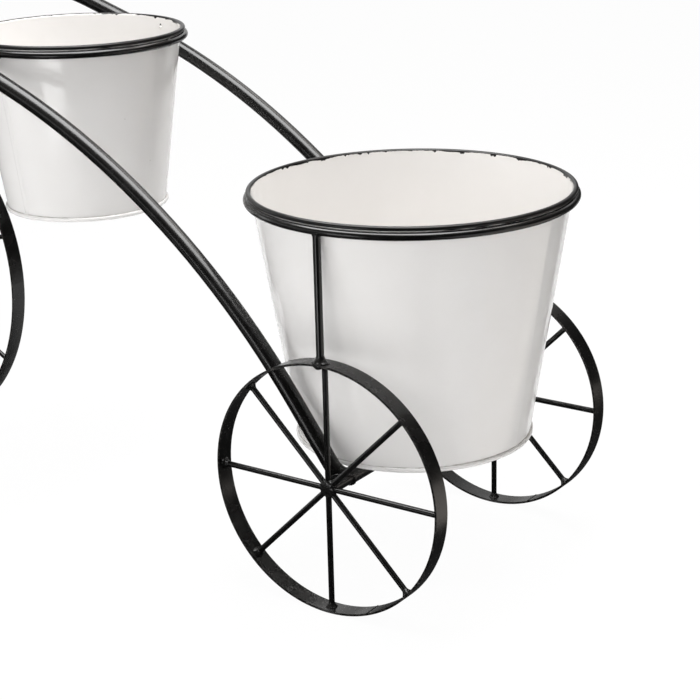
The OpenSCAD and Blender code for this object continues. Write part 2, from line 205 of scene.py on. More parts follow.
class NodeSketch:
    """Adds nodes to one shader tree and links them."""

    def __init__(self, owner: bpy.types.Material | bpy.types.World | bpy.types.NodeTree) -> None:
        """Empties the tree of a material or world, or takes a new group's tree.

        Args:
            owner: What the nodes belong to.
        """
        self.tree = owner
        if not isinstance(owner, bpy.types.NodeTree):
            owner.use_nodes = True
            self.tree = owner.node_tree
            self.tree.nodes.clear()

    def add(
        self, kind: str, given: dict[str | int, object] | None = None, **settings: object
    ) -> bpy.types.Node:
        """Adds one node.

        Args:
            kind: Blender's type name of the node.
            given: Inputs by name or place.
            settings: Properties to set on it.

        Returns:
            The new node.
        """
        node = self.tree.nodes.new(kind)
        count = len(self.tree.nodes)
        node.location = (240 * (count % 9), -260 * (count // 9))
        for key, value in settings.items():
            setattr(node, key, value)
        self.feed(node, given or {})
        return node

    def feed(self, node: bpy.types.Node, given: dict[str | int, object]) -> None:
        """Gives inputs of a node a link or a plain value.

        Args:
            node: Node to feed.
            given: Values, numbers, vectors or colours by the input's name or place.
        """
        for key, value in given.items():
            socket = node.inputs[key]
            if isinstance(value, Value):
                self.tree.links.new(value.socket, socket)
            else:
                socket.default_value = (*value, 1.0) if socket.type == "RGBA" else value

    def value(
        self, kind: str, given: dict[str | int, object], output: str | int = 0, **settings: object
    ) -> Value:
        """Adds a node and takes one of its outputs; see add for the other arguments."""
        return Value(self, self.add(kind, given, **settings).outputs[output])

    def maths(self, operation: str, first: Value | float, second: Value | float = 0.0) -> Value:
        """Result of a Math node."""
        return self.value("ShaderNodeMath", {0: first, 1: second}, operation=operation)

    def stretched(self, first: Value, second: Value | Place) -> Value:
        """Coordinates stretched along each axis."""
        return self.value("ShaderNodeVectorMath", {0: first, 1: second}, operation="MULTIPLY")

    def split(self, vector: Value) -> list[Value]:
        """Parts of a vector along x, y and z."""
        return [Value(self, part) for part in self.add("ShaderNodeSeparateXYZ", {0: vector}).outputs]

    def ramp(
        self, value: Value, low: object, high: object, start: float = 0.0, end: float = 1.0
    ) -> Value:
        """Adds a smooth ramp between two values.

        Args:
            value: Value to look up.
            low: Value where the ramp begins.
            high: Value where it ends.
            start: Result at the low end.
            end: Result at the high end.

        Returns:
            The result.
        """
        given = {"Value": value, "From Min": low, "From Max": high, "To Min": start, "To Max": end}
        kind = "ShaderNodeMapRange"
        return self.value(kind, given, "Result", interpolation_type="SMOOTHSTEP")

    def blend(self, factor: Value, first: object, second: object) -> Value:
        """Mix of two colours by the share of the second."""
        return self.value("ShaderNodeMix", {0: factor, 6: first, 7: second}, 2, data_type="RGBA")

    def noise(
        self, position: Value, scale: Value | float, detail: float = 3.0, harsh: float = 0.5
    ) -> Value:
        """Noise of some features a metre, with finer layers of a given number and strength."""
        given = {"Vector": position, "Scale": scale, "Detail": detail, "Roughness": harsh}
        return self.value("ShaderNodeTexNoise", given)


class EffectGroup(NodeSketch):
    """A shader effect that materials share, drawn once as a node group."""

    made: dict[Effect, EffectGroup] = {}
    vectors = ("Position", "Facing", "Stretch")

    def __init__(self, effect: Effect) -> None:
        """Draws the effect.

        Args:
            effect: Effect that the group makes.
        """
        super().__init__(bpy.data.node_groups.new(effect.value, "ShaderNodeTree"))
        drawings = {
            Effect.GRAIN: self.grain,
            Effect.DUST: self.dust,
            Effect.SPECKS: self.specks,
            Effect.ZONES: self.zones,
            Effect.EDGES: self.edges,
        }
        drawings[effect]()

    def take(self, *names: str) -> list[Value]:
        """Makes the group's inputs.

        Args:
            names: What it takes.

        Returns:
            The inputs in the same order.
        """
        for name in names:
            kind = "NodeSocketVector" if name in self.vectors else "NodeSocketFloat"
            self.tree.interface.new_socket(name, in_out="INPUT", socket_type=kind)
        source = self.add("NodeGroupInput")
        return [Value(self, source.outputs[name]) for name in names]

    def put_out(self, **values: Value) -> None:
        """Makes the group's outputs.

        Args:
            values: What it puts out, by name.
        """
        for name in values:
            self.tree.interface.new_socket(name, in_out="OUTPUT", socket_type="NodeSocketFloat")
        self.add("NodeGroupOutput", values)

    def grain(self) -> None:
        """Fine height and broad patches of a surface."""
        at, stretch, scale = self.take("Position", "Stretch", "Scale")
        place = self.stretched(at, stretch)
        broad = self.noise(place, scale * 0.11, 4.0, 0.55)
        self.put_out(Height=self.noise(place, scale, 3.0, 0.45), Patches=self.ramp(broad, 0.3, 0.7))

    def dust(self) -> None:
        """Dust that settles where a surface faces up."""
        at, facing, amount = self.take("Position", "Facing", "Amount")
        up = self.ramp(self.split(facing)[2], 0.25, 1.0)
        cloud = self.ramp(self.noise(at, 85.0, 6.0, 0.62), 0.4, 0.75)
        self.put_out(Mask=up * cloud * amount)

    def specks(self) -> None:
        """Small round specks, such as dust nibs and pinholes."""
        at, scale, share, radius = self.take("Position", "Scale", "Share", "Radius")
        cells = self.add("ShaderNodeTexVoronoi", {"Vector": at, "Scale": scale}).outputs
        pick = self.value("ShaderNodeSeparateColor", {0: Value(self, cells["Color"])})
        spot = self.ramp(Value(self, cells["Distance"]), radius * 0.45, radius, 1.0, 0.0)
        self.put_out(Mask=self.maths("LESS_THAN", pick, share) * spot)

    def zones(self) -> None:
        """Zones of a pot: its inside, the brushed black rim with bare bits under the roll that paint
        a highlight in the crease, and a dark line at its foot.
        """
        names = "Position, Facing, Middle, Foot Height, Rim Height, Rim Radius, Bare X, Bare Y"
        at, facing, middle, foot, rim, rim_r, bare_x, bare_y = self.take(*names.split(", "))
        x, y, z = self.split(at)
        facing_x, facing_y, _ = self.split(facing)
        out_x = x - middle
        inside = self.maths("LESS_THAN", out_x * facing_x + y * facing_y, 0.0)
        radius = self.maths("SQRT", out_x * out_x + y * y)
        # The brush left the paint's inner edge ragged: long strokes, short drips and bare bits
        around = self.stretched(at, (1.0, 1.0, 0.25))
        strokes = self.ramp(self.noise(around, 34.0, 1.0, 0.4), 0.5, 0.78)
        drips = self.ramp(self.noise(around, 150.0, 2.5), 0.54, 0.72)
        jitter = self.noise(around, 900.0, 2.0)
        bare = self.ramp(out_x * bare_x + y * bare_y, 0.5, 0.85, 0.0, 1.4 * MM)
        reach = strokes * (1.5 * MM) + drips * (1.9 * MM) + jitter * (0.6 * MM) - 1.0 * MM - bare
        height = z - rim
        brushed = self.ramp(height + reach, -0.06 * MM, 0.06 * MM)
        rolled = self.ramp(radius - rim_r, 0.0, 0.15 * MM)
        # Bare white bits on the roll's underside: a painted highlight along the crease between the
        # roll and the ring
        under = self.ramp(height, -1.35 * MM, -0.95 * MM, 1.0, 0.0)
        crease_highlight = under * self.ramp(self.noise(around, 13.0, 3.0, 0.6), 0.36, 0.48)
        paint = self.maths("MAXIMUM", brushed, rolled) * (1.0 - crease_highlight)
        # A fine dark line in the crease just above the foot's bead, broken up
        off_line = abs(z - foot - 3.9 * MM)
        line = self.ramp(off_line, 0.1 * MM, 0.5 * MM, 1.0, 0.0)
        grime = line * self.ramp(self.noise(at, 120.0, 4.0, 0.6), 0.3, 0.62)
        self.put_out(Inside=inside, Paint=paint, Grime=grime)

    def edges(self) -> None:
        """Rubbed long edges of a flat bar that stands off a plane y = Middle."""
        at, middle, half_width = self.take("Position", "Middle", "Half Width")
        edge = half_width - abs(self.split(at)[1] - middle)
        torn = self.ramp(self.noise(at, 210.0, 6.0, 0.7), 0.45, 0.68)
        self.put_out(Mask=self.ramp(edge, 0.05 * MM, 0.7 * MM, 1.0, 0.0) * torn)


class Skin(NodeSketch):
    """Nodes of one material round its Principled shader."""

    def __init__(self, name: str) -> None:
        """Makes the material.

        Args:
            name: Name of the material.
        """
        self.made = bpy.data.materials.new(name)
        super().__init__(self.made)
        self.shader = self.add("ShaderNodeBsdfPrincipled")
        self.add("ShaderNodeOutputMaterial", {"Surface": Value(self, self.shader.outputs[0])})
        place = self.add("ShaderNodeTexCoord").outputs
        self.own = {
            "Position": Value(self, place["Object"]),
            "Facing": Value(self, place["Normal"]),
            "Stretch": EVEN,
        }

    def effect(self, effect: Effect, **values: object) -> dict[str, Value]:
        """Places a shared effect at the piece's own coordinates.

        Args:
            effect: Effect to place.
            values: Its other inputs by name, with underscores for spaces.

        Returns:
            Its outputs by name.
        """
        if effect not in EffectGroup.made:
            EffectGroup.made[effect] = EffectGroup(effect)
        node = self.add("ShaderNodeGroup", node_tree=EffectGroup.made[effect].tree)
        given = self.own | {key.replace("_", " "): value for key, value in values.items()}
        self.feed(node, {key: value for key, value in given.items() if key in node.inputs})
        return {output.name: Value(self, output) for output in node.outputs}

    def layered(self, colour: object, *layers: tuple[Value, Colour]) -> Value:
        """Lays other colours over a colour.

        Args:
            colour: Colour underneath.
            layers: Share and colour of each layer, in order.

        Returns:
            The colour on top.
        """
        for share, tone in layers:
            colour = self.blend(share, colour, tone)
        return colour

    def coat(
        self, colour: Value, rough: Value, height: Value, depth: float, shine: Value | float = 0.5
    ) -> None:
        """Feeds the shader.

        Args:
            colour: Base colour.
            rough: Roughness.
            height: Height of the surface between 0 and 1.
            depth: What a height of 1 stands for, in metres.
            shine: Strength of the reflection.
        """
        bump = self.value("ShaderNodeBump", {"Distance": depth, "Height": height})
        given = {"Base Color": colour, "Roughness": rough, "Specular IOR Level": shine}
        self.feed(self.shader, {**given, "Normal": bump})


# Finishes


@dataclass(frozen=True)
class Finish:
    """A finish, made into a material the first time that a piece takes it."""

    name: str
    slot: Slot

    def material(self) -> bpy.types.Material:
        """Material of this finish, built once."""
        found = bpy.data.materials.get(self.name)
        if found is None:
            skin = Skin(self.name)
            self.draw(skin)
            found = skin.made
        return found

    def draw(self, skin: Skin) -> None:
        """Draws the finish into a material. Each kind of finish has its own."""
        raise NotImplementedError


@dataclass(frozen=True)
class BlackPaint(Finish):
    """Satin black paint over steel, with orange peel, dust nibs and a light film of dust."""

    tone: Colour = (0.0012, 0.0011, 0.001)
    faded: Colour = (0.003, 0.0028, 0.0027)
    dusty: Colour = (0.1, 0.096, 0.09)
    gloss: float = 0.23
    shine: float = 0.48
    peel: float = 620.0
    peel_depth: float = 0.0025 * MM
    dust: float = 0.2

    def draw(self, skin: Skin) -> None:
        """Draws the paint.

        Args:
            skin: Material's nodes.
        """
        grain = skin.effect(Effect.GRAIN, Scale=self.peel)
        film = skin.effect(Effect.DUST, Amount=self.dust)["Mask"]
        nibs = skin.effect(Effect.SPECKS, Scale=240.0, Share=0.03, Radius=0.09)["Mask"]
        colour = skin.blend(grain["Patches"], self.tone, self.faded)
        layers = (*self.wear(skin), (film * 0.16, self.dusty), (nibs * 0.15, self.dusty))
        colour = skin.layered(colour, *layers)
        rough = skin.ramp(grain["Patches"], 0.0, 1.0, self.gloss, self.gloss + 0.05) + film * 0.2
        skin.coat(colour, rough, grain["Height"] + nibs * 0.8, self.peel_depth, self.shine)

    def wear(self, skin: Skin) -> tuple[tuple[Value, Colour], ...]:
        """Layers of wear that a kind of paint adds; plain paint has none."""
        return ()


@dataclass(frozen=True)
class BandPaint(BlackPaint):
    """Black paint on a wheel's flat bar, rubbed thin along its edges."""

    middle: float = 0.0
    half_width: float = 7.65 * MM
    worn: Colour = (0.06, 0.057, 0.053)

    def wear(self, skin: Skin) -> tuple[tuple[Value, Colour], ...]:
        """Layer of the bar's lighter edges."""
        edges = skin.effect(Effect.EDGES, Middle=self.middle, Half_Width=self.half_width)
        return ((edges["Mask"] * 0.6, self.worn),)


@dataclass(frozen=True)
class PotEnamel(Finish):
    """Glossy white enamel with a black brushed rim, for a pot about a given middle."""

    middle: float = 0.0
    foot: float = 0.0
    rim: float = 0.0
    rim_radius: float = 0.1
    # Direction in which the brush left the rim barer, over the rim's radius
    bare: Pair = (0.0, 0.0)
    outside: Colour = (0.73, 0.722, 0.716)
    inside: Colour = (0.745, 0.73, 0.715)
    yellowed: Colour = (0.66, 0.645, 0.62)
    # Colour of the dark line just above the foot's bead
    grime: Colour = (0.24, 0.22, 0.195)
    pitted: Colour = (0.3, 0.27, 0.23)
    dusty: Colour = (0.5, 0.48, 0.45)
    black: Colour = (0.0022, 0.002, 0.0019)
    gloss: float = 0.13
    paint_gloss: float = 0.3
    wave: float = 16.0
    wave_depth: float = 0.25 * MM

    def draw(self, skin: Skin) -> None:
        """Draws the enamel.

        Args:
            skin: Material's nodes.
        """
        zones = skin.effect(
            Effect.ZONES,
            Middle=self.middle,
            Foot_Height=self.foot,
            Rim_Height=self.rim,
            Rim_Radius=self.rim_radius,
            Bare_X=self.bare[0],
            Bare_Y=self.bare[1],
        )
        sheet = skin.effect(Effect.GRAIN, Stretch=(1.0, 1.0, 0.22), Scale=self.wave)
        fine = skin.effect(Effect.GRAIN, Scale=420.0)
        pits = skin.effect(Effect.SPECKS, Scale=75.0, Share=0.035, Radius=0.05)["Mask"]
        film = skin.effect(Effect.DUST, Amount=0.5)["Mask"]
        # The rim's black paint, less the bare bits under the roll that paint a highlight in the
        # crease
        paint = zones["Paint"]
        colour = skin.layered(
            skin.blend(zones["Inside"], self.outside, self.inside),
            (fine["Patches"] * 0.1, self.yellowed),
            (zones["Grime"] * 0.6, self.grime),
            (pits * 0.55, self.pitted),
            (film * 0.12, self.dusty),
            (paint, self.black),
        )
        rough = skin.ramp(paint, 0.0, 1.0, self.gloss, self.paint_gloss) + film * 0.15
        waves = sheet["Height"] + fine["Height"] * 0.02 + paint * 0.35 - pits * 0.2
        skin.coat(colour, rough, waves, self.wave_depth, skin.ramp(paint, 0.0, 1.0, 0.5, 0.3))


@dataclass(frozen=True)
class GripRubber(Finish):
    """Matt black rubber with a dry bloom."""

    tone: Colour = (0.016, 0.0155, 0.015)
    bloom: Colour = (0.04, 0.039, 0.037)
    dusty: Colour = (0.12, 0.117, 0.11)

    def draw(self, skin: Skin) -> None:
        """Draws the rubber.

        Args:
            skin: Material's nodes.
        """
        grain = skin.effect(Effect.GRAIN, Scale=900.0)
        film = skin.effect(Effect.DUST, Amount=0.8)["Mask"]
        colour = skin.blend(grain["Patches"], self.tone, self.bloom)
        colour = skin.blend(film * 0.3, colour, self.dusty)
        rough = skin.ramp(grain["Patches"], 0.0, 1.0, 0.62, 0.78)
        skin.coat(colour, rough, grain["Height"], 0.05 * MM, 0.35)


@dataclass(frozen=True)
class Plating(Finish):
    """Plated steel with fine turning marks and dull patches."""

    tone: Colour = (0.3, 0.3, 0.305)
    dull: Colour = (0.17, 0.168, 0.165)
    pitted: Colour = (0.09, 0.08, 0.07)
    gloss: float = 0.26

    def draw(self, skin: Skin) -> None:
        """Draws the plating.

        Args:
            skin: Material's nodes.
        """
        marks = skin.effect(Effect.GRAIN, Stretch=(1.0, 9.0, 1.0), Scale=700.0)
        blots = skin.effect(Effect.GRAIN, Scale=1500.0)
        pits = skin.effect(Effect.SPECKS, Scale=900.0, Share=0.12, Radius=0.2)
        colour = skin.blend(blots["Patches"], self.tone, self.dull)
        colour = skin.blend(pits["Mask"] * 0.5, colour, self.pitted)
        rough = skin.ramp(blots["Patches"], 0.0, 1.0, self.gloss, self.gloss + 0.2)
        skin.coat(colour, rough, marks["Height"], 0.02 * MM)
        skin.feed(skin.shader, {"Metallic": 1.0})


PAINT = BlackPaint("frame_black_paint", Slot.PAINT)
ROD_PAINT = BlackPaint("rod_black_paint", Slot.PAINT, gloss=0.2, peel=820.0, dust=0.1)
WELD_PAINT = BlackPaint(
    "weld_black_paint",
    Slot.PAINT,
    tone=(0.0016, 0.0015, 0.0014),
    faded=(0.0045, 0.0042, 0.004),
    gloss=0.22,
    peel=480.0,
    peel_depth=0.03 * MM,
)
RUBBER = GripRubber("grip_rubber", Slot.RUBBER)
PLATING = Plating("plated_hardware", Slot.HARDWARE)
RIVET_STEEL = Plating(
    "rivet_steel", Slot.HARDWARE, tone=(0.86, 0.85, 0.83), dull=(0.7, 0.69, 0.67), gloss=0.16
)
WIRE_STEEL = Plating(
    "rim_wire_steel", Slot.WIRE, tone=(0.4, 0.4, 0.4), dull=(0.24, 0.23, 0.22), gloss=0.3
)


# Meshes


@dataclass(frozen=True)
class Fillet:
    """Weld metal round a rod's end: its place, the rod's way out and how far it flares."""

    at: Vector
    along: Vector
    rod_r: float
    flare: float
    height: float
    sink: float = 0.5 * MM
    across: Vector = field(default_factory=lambda: ACROSS)
    squeeze: float = 1.0
    inset: float = 0.12 * MM


class Draft:
    """Vertices and faces of one piece in the making."""

    def __init__(self) -> None:
        """Starts empty."""
        self.points: list[Vector] = []
        self.faces: list[tuple[int, ...]] = []

    def rings(self, rings: Sequence[Sequence[Vector]], low: bool = True, high: bool = True) -> None:
        """Skins closed rings of points, each with as many points as the others.

        Args:
            rings: Rings from one end to the other.
            low: Whether the first ring is closed by a cap.
            high: Whether the last ring is closed by a cap.
        """
        start, count = len(self.points), len(rings[0])
        for ring in rings:
            self.points.extend(ring)
        for row in range(len(rings) - 1):
            for k in range(count):
                a, b = start + row * count + k, start + row * count + (k + 1) % count
                self.faces.append((a, b, b + count, a + count))
        for wanted, row in ((low, 0), (high, len(rings) - 1)):
            if wanted:
                middle, first = len(self.points), start + row * count
                self.points.append(sum(rings[row], Vector()) / count)
                for k in range(count):
                    self.faces.append((first + k, first + (k + 1) % count, middle))

    def turned(
        self,
        place: Matrix,
        profile: Sequence[Pair],
        steps: int = 48,
        shape: Shape | None = None,
        low: bool = True,
        high: bool = True,
    ) -> None:
        """Adds a shape turned about the local Z axis.

        Args:
            place: Local frame.
            profile: Height and radius of each ring.
            steps: Points round a ring.
            shape: Radius from the angle, the height and the profile's radius.
            low: Whether the first ring is closed.
            high: Whether the last ring is closed.
        """
        angles = [math.tau * k / steps for k in range(steps)]
        rings = []
        for height, radius in profile:
            sizes = [shape(angle, height, radius) if shape else radius for angle in angles]
            rings.append([place @ polar(angle, r, height) for angle, r in zip(angles, sizes)])
        self.rings(rings, low, high)

    def fillet(self, weld: Fillet) -> None:
        """Adds a flared, slightly lumpy weld round a rod's end.

        Args:
            weld: What to add.
        """
        way = weld.along.normalized()
        first = (weld.across - way * weld.across.dot(way)).normalized()
        turn = Matrix((first, way.cross(first), way)).transposed()

        def lump(angle: float, height: float, share: float) -> float:
            """Radius at an angle and height; the profile's radius is the flare's share here."""
            lean = weld.squeeze + (1 - weld.squeeze) * math.cos(angle) ** 2
            spot = weld.at + turn @ polar(angle, 1.0, height)
            rough = noise.noise(spot * 2.7 + weld.at * 900) * 0.3 + 1.0
            return weld.rod_r - weld.inset + weld.flare * lean * share * rough

        rows = [(-weld.sink, 0.93)]
        rows += [(k / 7 * weld.height, (1 - k / 7) ** 2.1) for k in range(8)]
        place = Matrix.Translation(weld.at) @ turn.to_4x4()
        self.turned(place, rows, FILLET_STEPS, lump, low=False, high=False)

    def bead(self, path: Sequence[Vector], radius: float, closed: bool = True) -> None:
        """Adds a rippled weld bead along a path.

        Args:
            path: Points on the bead's middle line.
            radius: Radius of the bead.
            closed: Whether the path is a loop.
        """
        ripple, steps, pitch = 0.1, 10, 0.28 * MM
        middle = sum(path, Vector()) / len(path)
        rings, gone = [], 0.0
        for k, point in enumerate(path):
            after = path[(k + 1) % len(path)] if closed or k + 1 < len(path) else point
            before = path[k - 1] if closed or k else point
            way = (after - before).normalized()
            out = point - middle
            out -= way * out.dot(way)
            out = out.normalized() if out.length > 1e-6 else way.orthogonal().normalized()
            up = way.cross(out)
            gone += (point - path[k - 1]).length if k else 0.0
            size = radius * (1 + ripple * (math.sin(gone / pitch) + noise.noise(point * 420) * 1.6))
            turns = [math.tau * j / steps for j in range(steps)]
            rings.append([point + (out * math.cos(t) + up * math.sin(t)) * size for t in turns])
        if closed:
            rings.append(rings[0])
        self.rings(rings, low=not closed, high=not closed)

    def build(
        self, name: str, body: Body, finish: Finish, sharp: float | None = None
    ) -> bpy.types.Object:
        """Makes the piece and lets it ride on its body.

        Args:
            name: Name of the piece.
            body: Body that carries it.
            finish: Finish that it gets.
            sharp: Angle in degrees above which an edge stays sharp, or None.

        Returns:
            The piece.
        """
        piece = show(name, [tuple(point) for point in self.points], self.faces, finish.material())
        mesh, work = piece.data, bmesh.new()
        work.from_mesh(mesh)
        bmesh.ops.remove_doubles(work, verts=work.verts, dist=1e-7)
        bmesh.ops.recalc_face_normals(work, faces=work.faces)
        work.to_mesh(mesh)
        work.free()
        mesh.polygons.foreach_set("use_smooth", [True] * len(mesh.polygons))
        if sharp is not None:
            mesh.set_sharp_from_angle(angle=math.radians(sharp))
        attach(piece, body.value)
        LOG.info("made %s: %d faces, rides on %s", name, len(mesh.polygons), body.value)
        return piece


def loop_on(place: Matrix, radius: float, height: Callable[[float, float], float]) -> list[Vector]:
    """Closed loop round the local Z axis.

    Args:
        place: Local frame.
        radius: Radius of the loop.
        height: Height from the local x and y.

    Returns:
        The loop's points.
    """
    flat = [polar(math.tau * k / LOOP_STEPS, radius) for k in range(LOOP_STEPS)]
    return [place @ Vector((at.x, at.y, height(at.x, at.y))) for at in flat]


def hexagon(angle: float, flats: float) -> float:
    """Distance from a hexagon's middle to its outline, with a corner at angle 0."""
    turn = (angle + math.pi / 6) % (math.pi / 3) - math.pi / 6
    return flats / 2 / math.cos(math.pi / 6 - abs(turn))


# Sub-assemblies


@dataclass
class Assembly:
    """What every sub-assembly has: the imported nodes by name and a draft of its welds."""

    nodes: dict[str, bpy.types.Object]
    welds: Draft = field(default_factory=Draft, kw_only=True)

    def dress(self, finish: Finish, *names: str) -> None:
        """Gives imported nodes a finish.

        Args:
            finish: Finish that they get.
            names: Nodes to dress.
        """
        for name in names:
            mesh = self.nodes[name].data
            mesh.materials.clear()
            mesh.materials.append(finish.material())
            LOG.info("dressed %s with %s", name, finish.name)


@dataclass
class Wheel(Assembly):
    """A wheel: flat bar rim, rod spokes and the welds that hold them."""

    name: str
    pieces: tuple[str, ...]
    body: Body
    turn: float = 0.0
    weld_hub: Side | None = None
    hub_r: float = 8.0 * MM
    spoke_r: float = 2.3 * MM
    spokes: int = 8
    band_t: float = 1.8 * MM
    # Flare and height of each spoke's welds, and how deep the hub's start
    rim_flare: Pair = (2.7 * MM, 5.2 * MM)
    hub_flare: tuple[float, ...] = (1.2 * MM, 3.2 * MM, 1.6 * MM)
    seam_half: float = 7.4 * MM
    seam_r: float = 0.55 * MM
    seam_turn: float = 67.5

    def build(self) -> None:
        """Dresses the nodes and adds the welds."""
        centre, half = box_of(self.pieces[0])
        inner = half.x - self.band_t
        paint = f"{self.name}_band_paint"
        self.dress(BandPaint(paint, Slot.PAINT, middle=centre.y, half_width=half.y), self.pieces[0])
        self.dress(ROD_PAINT, *self.pieces[1:])
        for k in range(self.spokes):
            out = self.spoke_way(math.radians(self.turn) + math.tau * k / self.spokes)
            self.welds.fillet(Fillet(centre + out * inner, -out, self.spoke_r, *self.rim_flare))
            if self.weld_hub is None:
                seat = centre + out * self.hub_r
                self.welds.fillet(Fillet(seat, out, self.spoke_r, *self.hub_flare))
        # The butt weld where the rim's bar meets itself, on its inner face
        seam = centre + self.spoke_way(math.radians(self.turn - self.seam_turn)) * inner
        path = [seam + ACROSS * self.seam_half * (k / 20 - 1) for k in range(41)]
        self.welds.bead(path, self.seam_r, closed=False)
        if self.weld_hub is not None:
            self.disc(centre, float(self.weld_hub.value))
        self.welds.build(f"{self.name}_welds", self.body, WELD_PAINT)

    @staticmethod
    def spoke_way(angle: float) -> Vector:
        """Direction at an angle in the wheel's plane."""
        return Vector((math.cos(angle), 0.0, math.sin(angle)))

    def disc(self, centre: Vector, sign: float) -> None:
        """Adds the weld that covers the stub's end and fills the corners between the spokes.

        Args:
            centre: Wheel's middle.
            sign: Sign of y on the side that it faces.
        """

        def lump(angle: float, height: float, radius: float) -> float:
            """Radius, full at the spokes and hollow between them."""
            hollow = math.cos(angle * self.spokes + math.radians(self.turn) * self.spokes)
            spot = polar(angle, 1.0, height * 600) * 1.9
            return radius * (1 + 0.075 * hollow + 0.05 * noise.noise(spot + centre * 700))

        profile = in_mm((-3.0, 5.4), (-2.2, 7.0), (-1.0, 7.9), (0.4, 8.1), (1.5, 7.5))
        profile += in_mm((2.4, 6.5), (2.9, 5.2), (3.15, 3.0), (3.2, 1.0))
        place = Matrix.Translation(centre) @ Matrix.Rotation(-QUARTER * sign, 4, "X")
        self.welds.turned(place, profile, 64, lump, low=False)


@dataclass
class Frame(Assembly):
    """Bent tube frame with its head tube, rear stubs and welds."""

    tube_r: float = TUBE_R
    rail_y: float = RAIL_Y
    axle: Vector = field(default_factory=lambda: mm(322.985, 0, 102))
    rail_lean: float = 54.2
    bend_r: float = 15 * MM
    stub_r: float = 5.8 * MM
    head_r: float = 11 * MM
    head_lean: float = 12.0
    # Half width and half height of the bow's seat on the head tube
    seat: Pair = (6.6 * MM, 5.2 * MM)
    # Distance off the tube and radius of each weld bead
    stub_bead: Pair = (0.4 * MM, 1.25 * MM)
    head_bead: Pair = (0.35 * MM, 1.45 * MM)

    def build(self) -> None:
        """Dresses the nodes and adds the welds."""
        self.dress(PAINT, "rail_left", "rail_right", "rear_crossbar", "front_bow", "head_tube")
        self.dress(PAINT, "rear_hub_left", "rear_hub_right")
        for side in Side:
            self.stub_weld(side)
        self.head_weld()
        self.welds.build("frame_welds", Body.FRAME, WELD_PAINT)

    def stub_weld(self, side: Side) -> None:
        """Adds the bead where a rear stub meets the outside of the rail's bend.

        Args:
            side: Side that it is on.
        """
        lean = math.radians(self.rail_lean)
        up = Vector((-math.cos(lean), 0.0, math.sin(lean)))
        across = Vector((math.sin(lean), 0.0, math.cos(lean)))
        radius = self.stub_r + self.stub_bead[0]
        tries = [(20 - step * 0.1) * MM for step in range(400)]

        def depth(y: float, rise: float, aside: float) -> float:
            """Distance from the bend's middle line at a distance out along the stub."""
            return math.hypot(math.hypot(rise, y + self.bend_r) - self.bend_r, aside)

        path = []
        for k in range(LOOP_STEPS):
            aside, rise = math.sin(math.tau * k / LOOP_STEPS), math.cos(math.tau * k / LOOP_STEPS)
            aside, rise = aside * radius, rise * radius
            found = (y for y in tries if depth(y, rise - self.bend_r, aside) < self.tube_r)
            point = self.axle + up * rise + across * aside
            point.y = (self.rail_y + next(found, 0.0)) * side.value
            path.append(point)
        self.welds.bead(path, self.stub_bead[1])

    def head_weld(self) -> None:
        """Adds the bead round the seat of the bow on the head tube."""
        turn = Matrix.Rotation(math.radians(self.head_lean), 4, "Y")
        place = Matrix.Translation(box_of("head_tube")[0]) @ turn
        path = []
        for k in range(120):
            angle = math.tau * k / 120
            y, z = self.seat[0] * math.cos(angle), self.seat[1] * math.sin(angle)
            x = math.sqrt(self.head_r**2 - y**2) + self.head_bead[0]
            path.append(place @ Vector((x, y, z)))
        self.welds.bead(path, self.head_bead[1])


